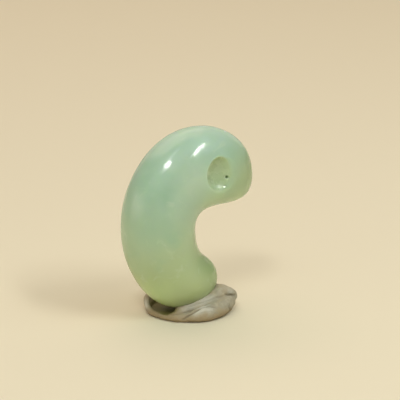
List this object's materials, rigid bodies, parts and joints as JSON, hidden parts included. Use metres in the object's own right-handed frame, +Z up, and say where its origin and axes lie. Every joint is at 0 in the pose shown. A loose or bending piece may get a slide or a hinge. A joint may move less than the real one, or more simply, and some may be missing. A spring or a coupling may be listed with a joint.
{
  "type": "jade magatama",
  "caption": "Comma-shaped polished jade bead with a threading hole in its head, stood upright in a small pad of grey putty.",
  "frame": {"origin": "on the flat underside of the putty pad, below the middle of the bead", "axes": "+Z up; the bead's plane is XZ, its hooked side opens towards +X and its drilled face looks along -Y"},
  "size_m": [0.0257, 0.0145, 0.0336],
  "materials": {
    "jade": "polished translucent pale green jade",
    "putty": "matt grey mounting putty, kneaded and rolled"
  },
  "bodies": {
    "root": {"magatama": "jade", "putty_rest": "putty"}
  },
  "joints": []
}
